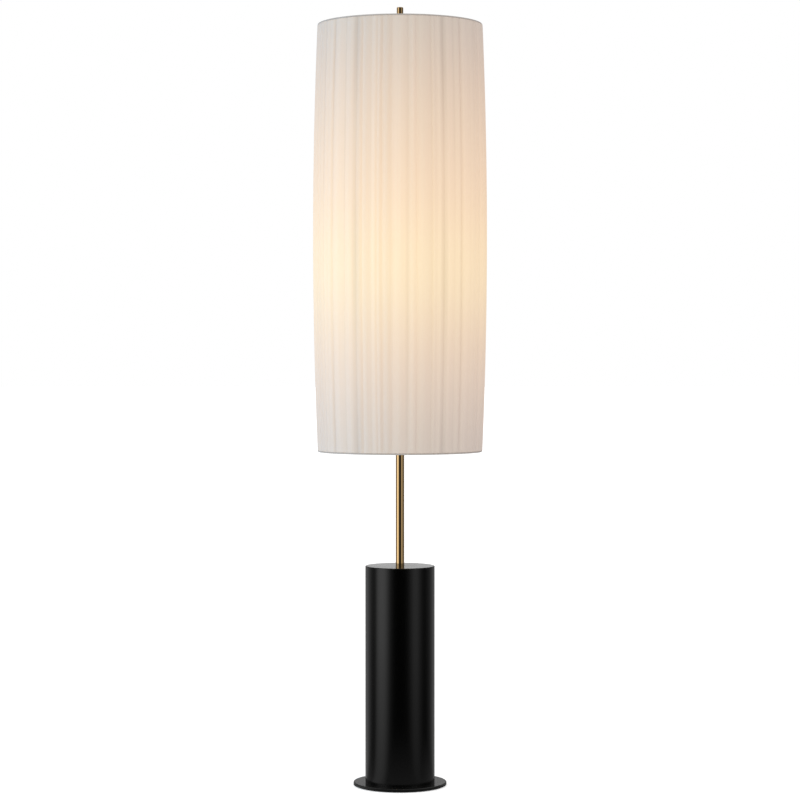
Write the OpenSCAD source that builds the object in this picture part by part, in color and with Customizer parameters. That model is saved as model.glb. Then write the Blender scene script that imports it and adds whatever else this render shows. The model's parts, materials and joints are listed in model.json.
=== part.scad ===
// Column floor lamp: a black steel column on a round foot, a brass stem with two
// bulbs one above the other, and a tall barrel-shaped pleated shade under a brass finial.
// Millimetres, +Z up. The origin is on the floor, on the lamp's axis; +Y is the back.

/* [Foot] */
// Diameter of the round foot plate
foot_d = 205; // [170:1:260]
// Thickness of the foot plate
foot_t = 6.4; // [6:0.1:12]
// Rounding of the foot plate's upper edge
foot_edge_r = 1.6; // [0.4:0.2:4]
// Thickness of the felt pad under the foot
pad_t = 1.6; // [1:0.2:4]
// How far the felt pad stays in from the foot's edge
pad_inset = 4; // [2:1:12]
// Number of screws that hold the foot to the column
foot_screw_count = 3; // [3:1:6]
// Thread diameter of the foot screws
foot_screw_d = 6; // [4:0.5:8]
// Thread diameter of the bolt that holds the ballast
ballast_bolt_d = 10; // [6:1:12]

/* [Column] */
// Outside diameter of the column tube
column_d = 153; // [125:1:185]
// Height of the column above the foot plate, cap included
column_h = 476; // [300:1:620]
// Wall of the column tube
column_wall = 2.5; // [1.5:0.5:4]
// Thickness of the column cap's rim
cap_t = 4; // [3:0.5:8]
// Rounding of the cap's upper edge
cap_edge_r = 1.5; // [0.5:0.25:2.5]
// Depth of the cap's spigot inside the tube
cap_spigot_h = 6; // [4:1:15]
// Gap between the iron ballast and the ring round it
ballast_gap = 3.9; // [2:0.1:20]
// Height of the iron ballast
ballast_h = 80; // [40:1:140]
// Height of the ring that the foot screws pull on
mount_ring_h = 6; // [5:1:10]
// Radial width of that ring
mount_ring_w = 14; // [12:1:15]
// Height of the cord entry's centre above the foot plate
cord_entry_h = 21; // [20:1:60]
// Bore of the cord entry bushing
cord_entry_d = 7.2; // [6:0.1:9]

/* [Stem] */
// Outside diameter of the brass stem
stem_d = 19; // [16:0.5:24]
// Wall of the brass stem
stem_wall = 1.2; // [0.8:0.1:2]
// Outside diameter of the brass risers above the lower hub
riser_d = 12.7; // [11:0.1:14]
// Wall of the risers
riser_wall = 1.2; // [0.8:0.1:1.3]
// Outside diameter of the threaded nipple between column and stem
nipple_d = 9.6; // [9:0.1:11]
// Bore of that nipple
nipple_bore = 6.6; // [6.4:0.1:7]

/* [Hubs and arms] */
// Diameter of the hubs that carry the arms
hub_d = 30; // [26:1:40]
// Height of the hubs
hub_h = 28; // [24:1:40]
// Height of the lower hub's centre above the floor
lower_hub_z = 990; // [950:1:1040]
// Height of the upper hub's centre above the floor
upper_hub_z = 1240; // [1225:1:1300]
// Distance from the lamp's axis to a bulb's axis
arm_reach = 50; // [48:1:75]
// Height from a hub's centre to the lamp holder's foot
arm_rise = 30; // [28:1:50]
// Outside diameter of the arm tubes
arm_d = 10; // [9:0.5:12]
// Wall of the arm tubes
arm_wall = 1.8; // [1:0.1:2]
// Radius of the arms' bend, at the tube's centre
arm_bend_r = 18; // [12:1:22]
// Diameter of the insulated leads
lead_d = 2.8; // [2:0.1:3]

/* [Lamp holders] */
// Outside diameter of the holder's shell
holder_d = 34; // [33.5:0.5:42]
// Wall of the holder's cap and shell
holder_wall = 0.9; // [0.6:0.1:1.2]
// Height of the holder's cap
holder_cap_h = 20; // [18:1:26]
// Rounding of the holder cap's shoulder
holder_shoulder_r = 8; // [3:0.5:9]
// Height of the whole lamp holder
holder_h = 60; // [56:1:70]
// Diameter of the switch knob
knob_d = 12; // [9:0.5:14]
// Length of the switch knob
knob_l = 12; // [8:0.5:18]
// Number of flutes round the switch knob
knob_flutes = 10; // [6:1:14]

/* [Bulbs] */
// Diameter of the bulb's globe
globe_d = 60; // [45:1:75]
// Length of the bulb from its contact to its crown
bulb_l = 110; // [95:1:130]
// Thickness of the glass
glass_t = 0.8; // [0.6:0.1:1.2]

/* [Shade] */
// Diameter of the shade at its two ends
shade_d = 362; // [300:1:430]
// How far the sides swell out at mid height
shade_swell = 10; // [4:0.5:24]
// Height of the shade
shade_h = 937; // [850:1:1200]
// Height of the shade's lower edge above the floor
shade_z = 735; // [650:1:800]
// Number of pleats round the shade
pleat_count = 66; // [48:1:144]
// Depth of the deepest pleat
pleat_depth = 2; // [1:0.2:3]
// Thickness of the pleated fabric
fabric_t = 0.8; // [0.6:0.1:1.2]
// Thickness of the lining
lining_t = 0.8; // [0.6:0.1:1.2]
// Height of the fabric bindings at the two ends
binding_h = 6; // [6:0.5:14]
// Wall of the bindings
binding_t = 1.2; // [0.8:0.1:2]
// Diameter of the ring wire
ring_wire_d = 4; // [3:0.5:5]
// Number of bowed struts
strut_count = 6; // [4:1:10]
// Diameter of the strut wire
strut_wire_d = 3.2; // [2:0.2:4]
// Number of spider arms that carry the shade
spider_arm_count = 3; // [3:1:4]
// Diameter of the spider hub
spider_hub_d = 32; // [26:1:44]
// Thickness of the spider hub
spider_hub_t = 4; // [3:0.5:6]

/* [Finial] */
// Diameter of the finial
finial_d = 14.3; // [12:0.1:20]
// Height of the finial
finial_h = 38; // [20:0.5:60]
// Chamfer round the finial's top
finial_chamfer = 1; // [0.5:0.1:2]
// Diameter of the stud that the finial screws on
stud_d = 6.35; // [5:0.05:7]

/* [Hidden] */
$fn = 96;

// Clearances
slip = 0.1;    // radial, between pieces that slide together and are fixed
loose = 0.3;   // round a moving or soft piece
hair = 0.02;   // lets a cutting solid pass a face
seat = 0.2;    // between a wire's end and the wire it is welded to
rest = 0.05;   // under a piece that rests on another and can leave it

// Foot and column, by height above the floor
foot_z = pad_t;
deck_z = foot_z + foot_t;
column_top_z = deck_z + column_h;
tube_top_z = column_top_z - cap_t;
column_r = column_d / 2;
column_inner_r = column_r - column_wall;
mount_ring_r = column_inner_r - slip;
screw_circle_r = mount_ring_r - mount_ring_w / 2;
foot_screw_tip = foot_t + mount_ring_h - 1;
ballast_d = 2 * (mount_ring_r - mount_ring_w - ballast_gap);
ballast_z = deck_z;
ballast_bolt_tip = foot_t + 30;
hex_key = 0.5; // a socket's width across its corners, as a share of the thread diameter

// Cord entry, on the column's back
entry_z = deck_z + cord_entry_h;
bushing_wall = 2;
bushing_r = cord_entry_d / 2 + bushing_wall;
bushing_flange_r = bushing_r + 3;
bushing_flange_t = 2.5;
bushing_inner_y = column_inner_r - 9;
bushing_nut_t = 4;
bushing_nut_r = bushing_r + 3;
bushing_nut_y = sqrt(pow(column_inner_r, 2) - pow(bushing_nut_r, 2)) - bushing_nut_t;

// Stem
stem_bore_r = stem_d / 2 - stem_wall;
stem_bush_h = 20;
nipple_r = nipple_d / 2;
nipple_top_z = column_top_z + stem_bush_h - 2;
nipple_washer_t = 1.6;
nipple_washer_r = nipple_r + 8;
nipple_nut_t = 5;
nipple_nut_r = nipple_r + 4;
cap_underside_z = tube_top_z - cap_spigot_h;
nipple_nut_z = cap_underside_z - nipple_washer_t - nipple_nut_t;
nipple_z = nipple_nut_z - 5;
riser_r = riser_d / 2;
riser_bore_r = riser_r - riser_wall;
riser_grip = 9;    // how far a riser enters a hub
spigot_h = 12;     // the lower hub's spigot in the stem
lead_way_r = 5;    // upright bore through a hub

// Shade, by height above the floor; the wires' circle lies inside the pleats
shade_r = shade_d / 2;
shade_top_z = shade_z + shade_h;
swell_r = (pow(shade_h / 2, 2) + pow(shade_swell, 2)) / (2 * shade_swell);
cover_z = shade_z + binding_h;
cover_h = shade_h - 2 * binding_h;
cover_bands = 4;
cover_flat = pow(cover_h / cover_bands, 2) / (8 * swell_r)
  + (shade_r + shade_swell) * (1 - cos(180 / pleat_count)); // what its flats lie inside the arc
wire_inset = pleat_depth + fabric_t + cover_flat + slip + strut_wire_d / 2;
wire_r = shade_r - wire_inset;
lining_inset = wire_inset + strut_wire_d / 2 + loose;
fold_gap = 0.2;  // round a wire inside a binding's fold
ring_drop = binding_t + ring_wire_d / 2 + fold_gap;
lining_steps = 12;
spider_z = shade_top_z - ring_drop;
spider_wire_d = ring_wire_d;
stud_r = stud_d / 2;
spider_hub_z = spider_z - spider_hub_t / 2;
seat_flange_t = 4;
seat_z = spider_hub_z - rest - seat_flange_t;
seat_flange_r = 11;
seat_plug_h = 14;
washer_t = 1.2;
washer_z = spider_hub_z + spider_hub_t;
washer_r = 10;
finial_z = washer_z + washer_t + rest;
finial_hole_h = 14;

// Lamp holders, by height above the holder's own foot
holder_r = holder_d / 2;
holder_neck_r = arm_d / 2 + 2;
holder_neck_h = 6;
arm_grip = 5;         // how far an arm enters the holder's neck
shell_z = 15;
shell_r = holder_r - holder_wall - slip;
switch_body_z = 12;
switch_body_h = 22;
switch_z = 26;
switch_shaft_r = 1.6;
knob_x = holder_r + 1.5;
contact_z = switch_body_z + switch_body_h;
contact_t = 1;
tip_z = contact_z + contact_t + slip;  // the bulb's contact
screw_cap_r = 13;                      // an E26 base
switch_body_r = screw_cap_r + slip;    // as wide as the bulb's cap
screw_cap_z = tip_z + 3;
screw_cap_h = 23;
screw_shell_wall = 0.5;
screw_shell_r = screw_cap_r + loose;
liner_r = shell_r - holder_wall - slip;
liner_bore_r = screw_shell_r + screw_shell_wall + 2 * slip;
glass_foot_z = screw_cap_z + screw_cap_h - 4;
crown_z = tip_z + bulb_l;
globe_r = globe_d / 2;
globe_z = crown_z - globe_r;
glass_neck_r = screw_cap_r - 0.6;
lead_gap = 0.2;
lead_x = (lead_d + lead_gap) / 2;
lead_bend_r = 5;
lead_z = nipple_z - 12;
lead_end = switch_body_z - slip;
connector_h = 20;
connector_r = lead_d + 3;

// Half the width of the shade's outside at height z: an arc through its two ends and its middle
function side_r(z) =
  shade_r + shade_swell - swell_r + sqrt(pow(swell_r, 2) - pow(z - shade_z - shade_h / 2, 2));

// A closed outline between two insets from the shade's side, from height z0 to z1
function wall_outline(inset0, inset1, z0, z1, steps) = concat(
  [for (i = [0:steps]) let (z = z0 + (z1 - z0) * i / steps) [side_r(z) - inset0, z]],
  [for (i = [steps:-1:0]) let (z = z0 + (z1 - z0) * i / steps) [side_r(z) - inset1, z]]
);

// Depth of pleat i: gathered by hand, so each one differs a little
function pleat_cut(i) = pleat_depth * (0.78 + 0.22 * sin(i * 137.5));

module tube(r, bore_r, h) {
  difference() {
    cylinder(r = r, h = h);
    translate([0, 0, -hair]) cylinder(r = bore_r, h = h + 2 * hair);
  }
}

// A disc whose upper edge is rounded
module rounded_disc(r, h, edge_r) {
  rotate_extrude() {
    square([r - edge_r, h]);
    square([r, h - edge_r]);
    translate([r - edge_r, h - edge_r]) intersection() {
      circle(edge_r);
      square(edge_r);
    }
  }
}

module hex_prism(corner_r, h) {
  cylinder(r = corner_r, h = h, $fn = 6);
}

// A countersunk screw, head down, with a key socket
module countersunk_screw(d, l) {
  difference() {
    union() {
      cylinder(r1 = d, r2 = d / 2, h = d / 2);
      cylinder(r = d / 2, h = l);
    }
    translate([0, 0, -hair]) hex_prism(d * hex_key / 2 * 1.1, d / 2);
  }
}

module round_the_column(count) {
  for (i = [0:count - 1]) rotate([0, 0, 360 * i / count + 30]) children();
}

module at_lower_lamp() {
  translate([arm_reach, 0, lower_hub_z + arm_rise]) children();
}

module at_upper_lamp() {
  rotate([0, 0, 180]) translate([arm_reach, 0, upper_hub_z + arm_rise]) children();
}

// ---- Foot ----

module felt_pad() {
  color("#1c1b1a") cylinder(r = foot_d / 2 - pad_inset, h = pad_t);
}

module foot_plate() {
  sink = 0.3; // the heads lie this far inside the plate
  color("#171614") difference() {
    translate([0, 0, foot_z]) rounded_disc(foot_d / 2, foot_t, foot_edge_r);
    round_the_column(foot_screw_count) translate([screw_circle_r, 0, foot_z])
      screw_hole(foot_screw_d, sink);
    translate([0, 0, foot_z]) screw_hole(ballast_bolt_d, sink);
  }
}

// The hole in the foot for a countersunk screw that lies sink inside it
module screw_hole(d, sink) {
  translate([0, 0, -hair]) {
    cylinder(r = d + slip, h = sink + hair);
    translate([0, 0, sink + hair - 0.001]) cylinder(r1 = d + slip, r2 = d / 2 + slip, h = d / 2);
    cylinder(r = d / 2 + slip, h = foot_t + 2 * hair);
  }
}

module foot_screws() {
  sink = 0.3;
  color("#8d8f92") round_the_column(foot_screw_count)
    translate([screw_circle_r, 0, foot_z + sink]) countersunk_screw(foot_screw_d, foot_screw_tip);
}

module ballast_bolt() {
  sink = 0.3;
  color("#8d8f92") translate([0, 0, foot_z + sink])
    countersunk_screw(ballast_bolt_d, ballast_bolt_tip);
}

module ballast_weight() {
  color("#4a4846") translate([0, 0, ballast_z]) difference() {
    rounded_disc(ballast_d / 2, ballast_h, 4);
    translate([0, 0, -hair]) cylinder(r = ballast_bolt_d / 2 + slip / 2, h = ballast_bolt_tip + 4);
  }
}

module mounting_ring() {
  color("#77797c") translate([0, 0, deck_z]) difference() {
    tube(mount_ring_r, mount_ring_r - mount_ring_w, mount_ring_h);
    round_the_column(foot_screw_count) translate([screw_circle_r, 0, -hair])
      cylinder(r = foot_screw_d / 2 + slip / 2, h = mount_ring_h + 2 * hair);
  }
}

// ---- Column ----

module column_shell() {
  color("#1a1917") difference() {
    translate([0, 0, deck_z]) tube(column_r, column_inner_r, tube_top_z - deck_z);
    translate([0, column_r, entry_z]) rotate([90, 0, 0])
      cylinder(r = bushing_r + slip, h = 3 * column_wall, center = true);
  }
}

module column_cap() {
  color("#1a1917") difference() {
    union() {
      translate([0, 0, tube_top_z]) rounded_disc(column_r, cap_t, cap_edge_r);
      translate([0, 0, cap_underside_z])
        cylinder(r = column_inner_r - slip, h = cap_spigot_h + hair);
    }
    translate([0, 0, cap_underside_z - hair])
      cylinder(r = nipple_r + slip, h = column_top_z - cap_underside_z + 2 * hair);
    // a recess under the cap keeps its spigot a rim
    translate([0, 0, cap_underside_z - hair]) rotate_extrude()
      translate([nipple_washer_r + 4, 0])
      square([column_inner_r - nipple_washer_r - 10, cap_spigot_h]);
  }
}

// Points from the back wall outwards, with the bore along Y
module along_entry(y) {
  translate([0, y, entry_z]) rotate([-90, 0, 0]) children();
}

module cord_bushing() {
  color("#101010") difference() {
    union() {
      along_entry(bushing_inner_y) cylinder(r = bushing_r, h = column_r - bushing_inner_y + hair);
      along_entry(column_r) rounded_disc(bushing_flange_r, bushing_flange_t, 1);
    }
    along_entry(bushing_inner_y - hair)
      cylinder(r = cord_entry_d / 2, h = column_r + bushing_flange_t - bushing_inner_y + 2 * hair);
  }
}

module bushing_nut() {
  color("#101010") along_entry(bushing_nut_y) difference() {
    hex_prism(bushing_nut_r, bushing_nut_t);
    translate([0, 0, -hair]) cylinder(r = bushing_r + slip / 2, h = bushing_nut_t + 2 * hair);
  }
}

// ---- Stem ----

module stem_nipple() {
  color("#a8a49a") translate([0, 0, nipple_z])
    tube(nipple_r, nipple_bore / 2, nipple_top_z - nipple_z);
}

module nipple_washer() {
  color("#8d8f92") translate([0, 0, nipple_nut_z + nipple_nut_t])
    tube(nipple_washer_r, nipple_r + slip, nipple_washer_t);
}

module nipple_nut() {
  color("#8d8f92") translate([0, 0, nipple_nut_z]) difference() {
    hex_prism(nipple_nut_r, nipple_nut_t);
    translate([0, 0, -hair]) cylinder(r = nipple_r + slip / 2, h = nipple_nut_t + 2 * hair);
  }
}

module stem_bush() {
  color("#a9833f") translate([0, 0, column_top_z])
    tube(stem_bore_r - slip / 2, nipple_r + slip / 2, stem_bush_h);
}

module stem_tube() {
  color("#b08a4a") translate([0, 0, column_top_z])
    tube(stem_d / 2, stem_bore_r, lower_hub_z - hub_h / 2 - column_top_z);
}

// A round hub with its arm's hole on +X. top_r is the bore for the riser above.
module hub(top_r) {
  difference() {
    rotate_extrude() {
      chamfer = 1.2;
      polygon([
        [0, -hub_h / 2], [hub_d / 2 - chamfer, -hub_h / 2], [hub_d / 2, -hub_h / 2 + chamfer],
        [hub_d / 2, hub_h / 2 - chamfer], [hub_d / 2 - chamfer, hub_h / 2], [0, hub_h / 2]
      ]);
    }
    cylinder(r = lead_way_r, h = hub_h + 2 * hair, center = true);
    translate([0, 0, hub_h / 2 - riser_grip]) cylinder(r = top_r, h = riser_grip + hair);
    rotate([0, 90, 0]) cylinder(r = arm_d / 2 - arm_wall, h = hub_d);
    translate([hub_d / 2 - riser_grip, 0, 0]) rotate([0, 90, 0])
      cylinder(r = arm_d / 2 + slip / 2, h = hub_d);
  }
}

module lower_hub() {
  color("#a9833f") translate([0, 0, lower_hub_z]) {
    hub(riser_r + slip / 2);
    translate([0, 0, -hub_h / 2 - spigot_h])
      tube(stem_bore_r - slip / 2, lead_way_r, spigot_h + hair);
  }
}

module upper_hub() {
  color("#a9833f") translate([0, 0, upper_hub_z]) rotate([0, 0, 180]) difference() {
    hub(riser_r + slip / 2);
    translate([0, 0, -hub_h / 2 - hair]) cylinder(r = riser_r + slip / 2, h = riser_grip + hair);
  }
}

module riser(z0, z1) {
  color("#b08a4a") translate([0, 0, z0]) tube(riser_r, riser_bore_r, z1 - z0);
}

module lower_riser() {
  riser(lower_hub_z + hub_h / 2 - riser_grip + slip, upper_hub_z - hub_h / 2 + riser_grip - slip);
}

module upper_riser() {
  riser(upper_hub_z + hub_h / 2 - riser_grip + slip, seat_z);
}

module shade_seat() {
  color("#a9833f") difference() {
    union() {
      translate([0, 0, seat_z]) rounded_disc(seat_flange_r, seat_flange_t, 0.8);
      translate([0, 0, seat_z - seat_plug_h])
        cylinder(r = riser_bore_r - slip / 2, h = seat_plug_h + hair);
    }
    translate([0, 0, seat_z - seat_plug_h - hair])
      cylinder(r = stud_r + slip / 2, h = seat_plug_h + seat_flange_t + 2 * hair);
  }
}

module shade_stud() {
  color("#8d8f92") translate([0, 0, seat_z - seat_plug_h])
    cylinder(r = stud_r, h = finial_z + finial_hole_h - 2 - (seat_z - seat_plug_h));
}

// ---- Arms and leads ----

// A round bar or tube: out from x0, round the bend and up to height z1
module elbow(r, bore_r, x0, z1) {
  bend_x = arm_reach - arm_bend_r;
  translate([x0, 0, 0]) rotate([0, 90, 0]) run(r, bore_r, bend_x - x0);
  translate([bend_x, 0, arm_bend_r]) rotate([90, 0, 0]) rotate([0, 0, -90])
    bend(r, bore_r, arm_bend_r);
  translate([arm_reach, 0, arm_bend_r]) run(r, bore_r, z1 - arm_bend_r);
}

module run(r, bore_r, l) {
  linear_extrude(l) section(r, bore_r);
}

module bend(r, bore_r, bend_r) {
  rotate_extrude(angle = 90) translate([bend_r, 0]) section(r, bore_r);
}

module section(r, bore_r) {
  difference() {
    circle(r = r);
    if (bore_r > 0) circle(r = bore_r);
  }
}

module arm(hub_z) {
  color("#b08a4a") translate([0, 0, hub_z])
    elbow(arm_d / 2, arm_d / 2 - arm_wall, hub_d / 2 - riser_grip + slip, arm_rise + arm_grip);
}

module lower_arm() {
  arm(lower_hub_z);
}

module upper_arm() {
  rotate([0, 0, 180]) arm(upper_hub_z);
}

// One insulated two-core lead: up the stem at lead_x, out through a hub and up its arm
module lead(hub_z) {
  r = lead_d / 2;
  color("#d8d2c4") {
    translate([lead_x, 0, lead_z]) run(r, 0, hub_z - lead_bend_r - lead_z);
    translate([lead_x + lead_bend_r, 0, hub_z - lead_bend_r]) rotate([90, 0, 0])
      rotate([0, 0, 90]) bend(r, 0, lead_bend_r);
    translate([0, 0, hub_z]) elbow(r, 0, lead_x + lead_bend_r, arm_rise + lead_end);
  }
}

module lower_lead() {
  lead(lower_hub_z);
}

module upper_lead() {
  rotate([0, 0, 180]) lead(upper_hub_z);
}

module lead_connector() {
  color("#e8e4da") difference() {
    translate([0, 0, lead_z - connector_h + 4]) cylinder(r = connector_r, h = connector_h);
    for (side = [-1, 1]) translate([side * lead_x, 0, lead_z - slip])
      cylinder(r = lead_d / 2 + slip / 2, h = connector_h);
  }
}

// ---- Lamp holders ----

// A spun cup on a neck, open upwards, with a domed shoulder between them
module holder_cap() {
  depth = holder_cap_h - holder_neck_h;
  color("#b08a4a") difference() {
    union() {
      cylinder(r = holder_neck_r, h = holder_neck_h + hair);
      translate([0, 0, holder_cap_h]) mirror([0, 0, 1])
        rounded_disc(holder_r, depth, holder_shoulder_r);
    }
    translate([0, 0, holder_cap_h + hair]) mirror([0, 0, 1])
      rounded_disc(holder_r - holder_wall, depth - holder_wall + hair, holder_shoulder_r - holder_wall);
    translate([0, 0, -hair]) cylinder(r = arm_d / 2 + slip / 2, h = holder_cap_h);
  }
}

module holder_shell() {
  bead = 0.8;
  color("#b08a4a") difference() {
    rotate_extrude() polygon([
      [shell_r, shell_z], [shell_r, holder_cap_h + 0.5], [holder_r, holder_cap_h + 1.5],
      [holder_r, holder_h - 2], [holder_r + bead, holder_h - 1.5], [holder_r + bead, holder_h - 0.5],
      [holder_r, holder_h], [shell_r - holder_wall, holder_h], [shell_r - holder_wall, shell_z]
    ]);
    translate([0, 0, switch_z]) rotate([0, 90, 0])
      cylinder(r = switch_shaft_r + loose, h = 2 * holder_r);
  }
}

module switch_body() {
  way_r = lead_d / 2 + loose;
  color("#2a2420") difference() {
    translate([0, 0, switch_body_z]) cylinder(r = switch_body_r, h = switch_body_h);
    translate([2, 0, switch_z]) rotate([0, 90, 0])
      cylinder(r = switch_shaft_r + slip / 2, h = switch_body_r);
    translate([0, 0, switch_body_z - hair]) rotate([0, 0, 90]) translate([8, 0, 0])
      cylinder(r = way_r, h = switch_body_h + 2 * hair);
  }
}

module switch_knob() {
  flute_r = 1.2;
  color("#171412") translate([0, 0, switch_z]) rotate([0, 90, 0]) {
    translate([0, 0, 2 + slip]) cylinder(r = switch_shaft_r, h = knob_x + hair - 2 - slip);
    difference() {
      translate([0, 0, knob_x]) rounded_disc(knob_d / 2, knob_l, 1.5);
      for (i = [0:knob_flutes - 1]) rotate([0, 0, 360 * i / knob_flutes])
        translate([knob_d / 2 + flute_r / 3, 0, knob_x + 2]) cylinder(r = flute_r, h = knob_l);
    }
  }
}

module fibre_liner() {
  color("#cbbd9c") translate([0, 0, contact_z - 6])
    tube(liner_r, liner_bore_r, holder_h - 1 - contact_z + 6);
}

// The threaded sleeve: thin wall and a turned-in floor that sits on the switch body
module screw_shell() {
  floor_r = 8;
  color("#b9bcc0") translate([0, 0, contact_z + slip]) difference() {
    cylinder(r = screw_shell_r + screw_shell_wall, h = holder_h - 3 - contact_z);
    translate([0, 0, screw_shell_wall]) cylinder(r = screw_shell_r, h = holder_h);
    translate([0, 0, -hair]) cylinder(r = floor_r, h = holder_h);
  }
}

module centre_contact() {
  contact_r = 4;
  color("#c29a4c") translate([0, 0, contact_z]) cylinder(r = contact_r, h = contact_t);
}

// ---- Bulbs ----

// Outline of the envelope, drawn in by inset: a globe and the cone that leaves it smoothly
module envelope_outline(inset) {
  neck_r = glass_neck_r - inset;
  ball_r = globe_r - inset;
  drop = globe_z - glass_foot_z - 8;
  // where a line from the neck's top touches the globe
  reach = sqrt(pow(drop, 2) + pow(neck_r, 2));
  lean = 90 - atan2(neck_r, drop) - asin(ball_r / reach) + 90;
  touch_a = lean - 180;
  intersection() {
    union() {
      translate([0, globe_z]) circle(r = ball_r);
      polygon([
        [0, glass_foot_z], [neck_r, glass_foot_z], [neck_r, glass_foot_z + 8],
        [ball_r * cos(touch_a), globe_z + ball_r * sin(touch_a)], [0, globe_z]
      ]);
    }
    translate([0, glass_foot_z - (inset > 0 ? 1 : 0)]) square([globe_d, bulb_l + 1]);
  }
}

module bulb_glass() {
  color("#fff4e0") rotate_extrude() difference() {
    envelope_outline(0);
    envelope_outline(glass_t);
    translate([-1, glass_foot_z - 1]) square([glass_neck_r - glass_t + 1, 1 + hair]);
  }
}

// The screw base: a rolled sleeve of rings, where the thread's crests lie
module bulb_cap() {
  rings = 5;
  pitch = 3.6;
  root_r = screw_cap_r - 0.9;
  color("#b9bcc0") difference() {
    union() {
      translate([0, 0, screw_cap_z]) cylinder(r = root_r, h = screw_cap_h);
      for (i = [0:rings - 1]) translate([0, 0, screw_cap_z + 2 + i * pitch]) rotate_extrude()
        polygon([
          [root_r - 0.3, 0], [root_r, 0], [screw_cap_r, pitch * 0.35], [screw_cap_r, pitch * 0.6],
          [root_r, pitch * 0.95], [root_r - 0.3, pitch * 0.95]
        ]);
    }
    translate([0, 0, screw_cap_z + 1]) cylinder(r = root_r - 0.5, h = screw_cap_h - 5);
    translate([0, 0, glass_foot_z - slip]) cylinder(r = glass_neck_r + slip / 2, h = screw_cap_h);
  }
}

// Black glass under the cap, with the solder contact in its middle
module bulb_insulator() {
  color("#16130f") rotate_extrude() polygon([
    [0, tip_z], [4.2, tip_z], [4.6, tip_z + 0.8], [6, tip_z + 1], [screw_cap_r - 2.5, screw_cap_z],
    [0, screw_cap_z]
  ]);
}

// ---- Shade ----

// A ring of wire at height z
module wire_ring(z) {
  color("#e9e7e2") translate([0, 0, z]) rotate_extrude() translate([wire_r, 0])
    circle(d = ring_wire_d);
}

module top_ring() {
  wire_ring(spider_z);
}

module bottom_ring() {
  wire_ring(shade_z + ring_drop);
}

// Bowed wires that follow the shade's arc between the two rings
module shade_struts() {
  bow_r = swell_r - wire_inset;
  half_h = shade_h / 2 - ring_drop - ring_wire_d / 2 - seat;
  half_a = asin(half_h / bow_r);
  color("#e9e7e2") for (i = [0:strut_count - 1])
    rotate([0, 0, 360 * i / strut_count])
      translate([shade_r + shade_swell - swell_r, 0, shade_z + shade_h / 2])
        rotate([90, 0, 0]) rotate([0, 0, -half_a])
          rotate_extrude(angle = 2 * half_a) translate([bow_r, 0]) circle(d = strut_wire_d);
}

module at_spider_arms() {
  for (i = [0:spider_arm_count - 1]) rotate([0, 0, 360 * i / spider_arm_count + 90])
    translate([0, 0, spider_z]) rotate([0, 90, 0]) children();
}

module spider_arms() {
  start = spider_hub_d / 2 + seat;
  color("#e9e7e2") at_spider_arms() translate([0, 0, start])
    cylinder(d = spider_wire_d, h = wire_r - ring_wire_d / 2 - seat - start);
}

module spider_hub() {
  color("#b08a4a") translate([0, 0, spider_hub_z])
    tube(spider_hub_d / 2, stud_r + loose, spider_hub_t);
}

module shade_lining() {
  color("#f2ede2") rotate_extrude()
    polygon(wall_outline(lining_inset, lining_inset + lining_t, cover_z, cover_z + cover_h,
                         lining_steps));
}

// The pleated fabric: zigzag rings carried up the arc outside, plainer ones inside
module shade_cover() {
  turns = 2 * pleat_count;
  inside = pleat_depth + fabric_t;
  first_inner = (cover_bands + 1) * turns;
  outer = [
    for (k = [0:cover_bands]) let (z = cover_z + cover_h * k / cover_bands)
      for (i = [0:turns - 1])
        let (r = side_r(z) - (i % 2 == 0 ? 0 : pleat_cut(i)), a = 360 * i / turns)
          [r * cos(a), r * sin(a), z]
  ];
  inner = [
    for (k = [0:cover_bands]) let (z = cover_z + cover_h * k / cover_bands)
      for (j = [0:pleat_count - 1]) let (r = side_r(z) - inside, a = 360 * j / pleat_count)
        [r * cos(a), r * sin(a), z]
  ];
  outer_faces = [
    for (k = [0:cover_bands - 1]) for (i = [0:turns - 1])
      let (n = (i + 1) % turns, a = k * turns, b = a + turns)
        each [[a + i, b + i, b + n], [a + i, b + n, a + n]]
  ];
  inner_faces = [
    for (k = [0:cover_bands - 1]) for (j = [0:pleat_count - 1])
      let (n = (j + 1) % pleat_count, a = first_inner + k * pleat_count, b = a + pleat_count)
        each [[a + j, b + n, b + j], [a + j, a + n, b + n]]
  ];
  // a pleat's two slopes outside meet one flat inside
  function rim(k) = [
    for (j = [0:pleat_count - 1])
      let (n = (j + 1) % pleat_count, o = k * turns + 2 * j, last = k * turns + 2 * n,
           p = first_inner + k * pleat_count + j, q = first_inner + k * pleat_count + n)
        each [[o, o + 1, p], [o + 1, q, p], [o + 1, last, q]]
  ];
  function flipped(faces) = [for (f = faces) [f[2], f[1], f[0]]];
  color("#f4eee0") polyhedron(
    concat(outer, inner),
    concat(outer_faces, inner_faces, rim(0), flipped(rim(cover_bands))),
    convexity = 10
  );
}

// Folded fabric round a ring, drawn for the lower end: two legs and a floor round the wire
module binding_outline() {
  out_r = shade_r;
  in_r = shade_r - lining_inset - lining_t;
  way = max(ring_wire_d, strut_wire_d) / 2 + fold_gap;
  difference() {
    union() {
      translate([in_r, binding_t]) square([out_r - in_r, binding_h - binding_t]);
      translate([in_r + binding_t, 0]) square([out_r - in_r - 2 * binding_t, binding_t + hair]);
      for (x = [in_r + binding_t, out_r - binding_t]) translate([x, binding_t])
        circle(r = binding_t);
    }
    translate([wire_r - way, ring_drop]) square([2 * way, binding_h]);
    translate([wire_r, ring_drop]) circle(r = way);
  }
}

module bottom_binding() {
  color("#efe9dc") translate([0, 0, shade_z]) rotate_extrude() binding_outline();
}

module top_binding() {
  color("#efe9dc") difference() {
    translate([0, 0, shade_top_z]) mirror([0, 0, 1]) rotate_extrude() binding_outline();
    at_spider_arms() cylinder(r = spider_wire_d / 2 + loose, h = wire_r);
  }
}

// ---- Finial ----

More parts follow.
